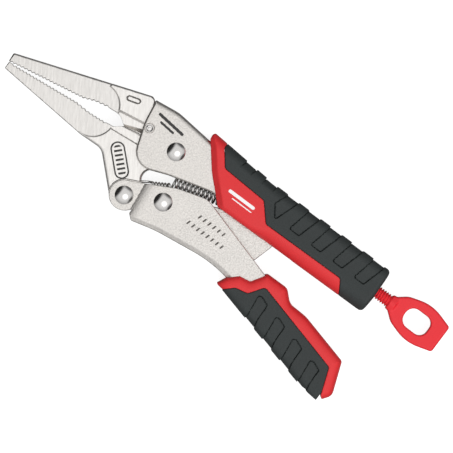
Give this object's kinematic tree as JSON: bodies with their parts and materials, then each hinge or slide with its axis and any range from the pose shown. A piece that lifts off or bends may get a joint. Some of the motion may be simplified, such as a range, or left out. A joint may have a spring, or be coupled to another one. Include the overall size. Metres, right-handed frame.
{
  "type": "locking pliers",
  "caption": "Long-nose locking pliers with toothed jaws, a toggle lever, moulded two-colour grips and a ringed adjusting screw.",
  "frame": {"origin": "under the middle of the object's box, on the plane that the grips' sides rest on", "axes": "+X from the jaw tips to the screw's ring; +Y from the lower handle to the upper handle; +Z across the sheet-metal plates, up from the surface"},
  "size_m": [0.236, 0.0704, 0.0206],
  "materials": {
    "nickel_steel": "satin nickel plate",
    "jaw_steel": "satin nickel plate over a forging",
    "rivet_steel": "polished rivet heads",
    "spring_steel": "plain spring wire",
    "red_plastic": "moulded satin",
    "black_rubber": "moulded matte",
    "red_coating": "powder coat"
  },
  "bodies": {
    "frame": {"upper_frame": "nickel_steel", "upper_jaw": "jaw_steel", "jaw_stud": "nickel_steel", "main_pivot_rivet": "rivet_steel", "screw_nut": "nickel_steel", "spring_pin": "nickel_steel", "upper_grip_shell": "red_plastic", "upper_grip_cover": "black_rubber", "tension_spring": "spring_steel"},
    "jaw": {"lower_jaw": "jaw_steel"},
    "lever": {"lever_channel": "nickel_steel", "jaw_rivet": "rivet_steel", "link_rivet": "rivet_steel", "lower_grip_shell": "red_plastic", "lower_grip_cover": "black_rubber"},
    "link": {"toggle_link": "nickel_steel"},
    "screw_nose": {"screw_tip": "nickel_steel"},
    "screw": {"adjusting_screw": "red_coating", "screw_ring": "red_coating"}
  },
  "joints": [
    {"name": "jaw_swing", "type": "hinge", "parent": "frame", "child": "jaw", "pos_m": [-0.0308, 0.01745, 0.0103], "axis": [0, 0, 1], "range_deg": [0, 13.6], "deforming": ["tension_spring"]},
    {"name": "lever_swing", "type": "hinge", "parent": "jaw", "child": "lever", "pos_m": [-0.0381, -0.01265, 0.0103], "axis": [0, 0, 1], "range_deg": [-60, 0]},
    {"name": "link_swing", "type": "hinge", "parent": "lever", "child": "link", "pos_m": [-0.0218, -0.00455, 0.0103], "axis": [0, 0, 1], "range_deg": [0, 62.8]},
    {"name": "screw_travel", "type": "slide", "parent": "frame", "child": "screw_nose", "axis": [1, 0, 0], "range_m": [0, 0.01016]},
    {"name": "screw_turn", "type": "hinge", "parent": "screw_nose", "child": "screw", "pos_m": [0.09, 0.02135, 0.0103], "axis": [1, 0, 0], "range_deg": [0, 2880]}
  ],
  "couplings": [
    {"joint": "jaw_swing", "follows": "lever_swing", "ratio": -0.225},
    {"joint": "link_swing", "follows": "lever_swing", "ratio": -1.04},
    {"joint": "screw_turn", "follows": "screw_travel", "rad_per_m": 4947.4}
  ]
}
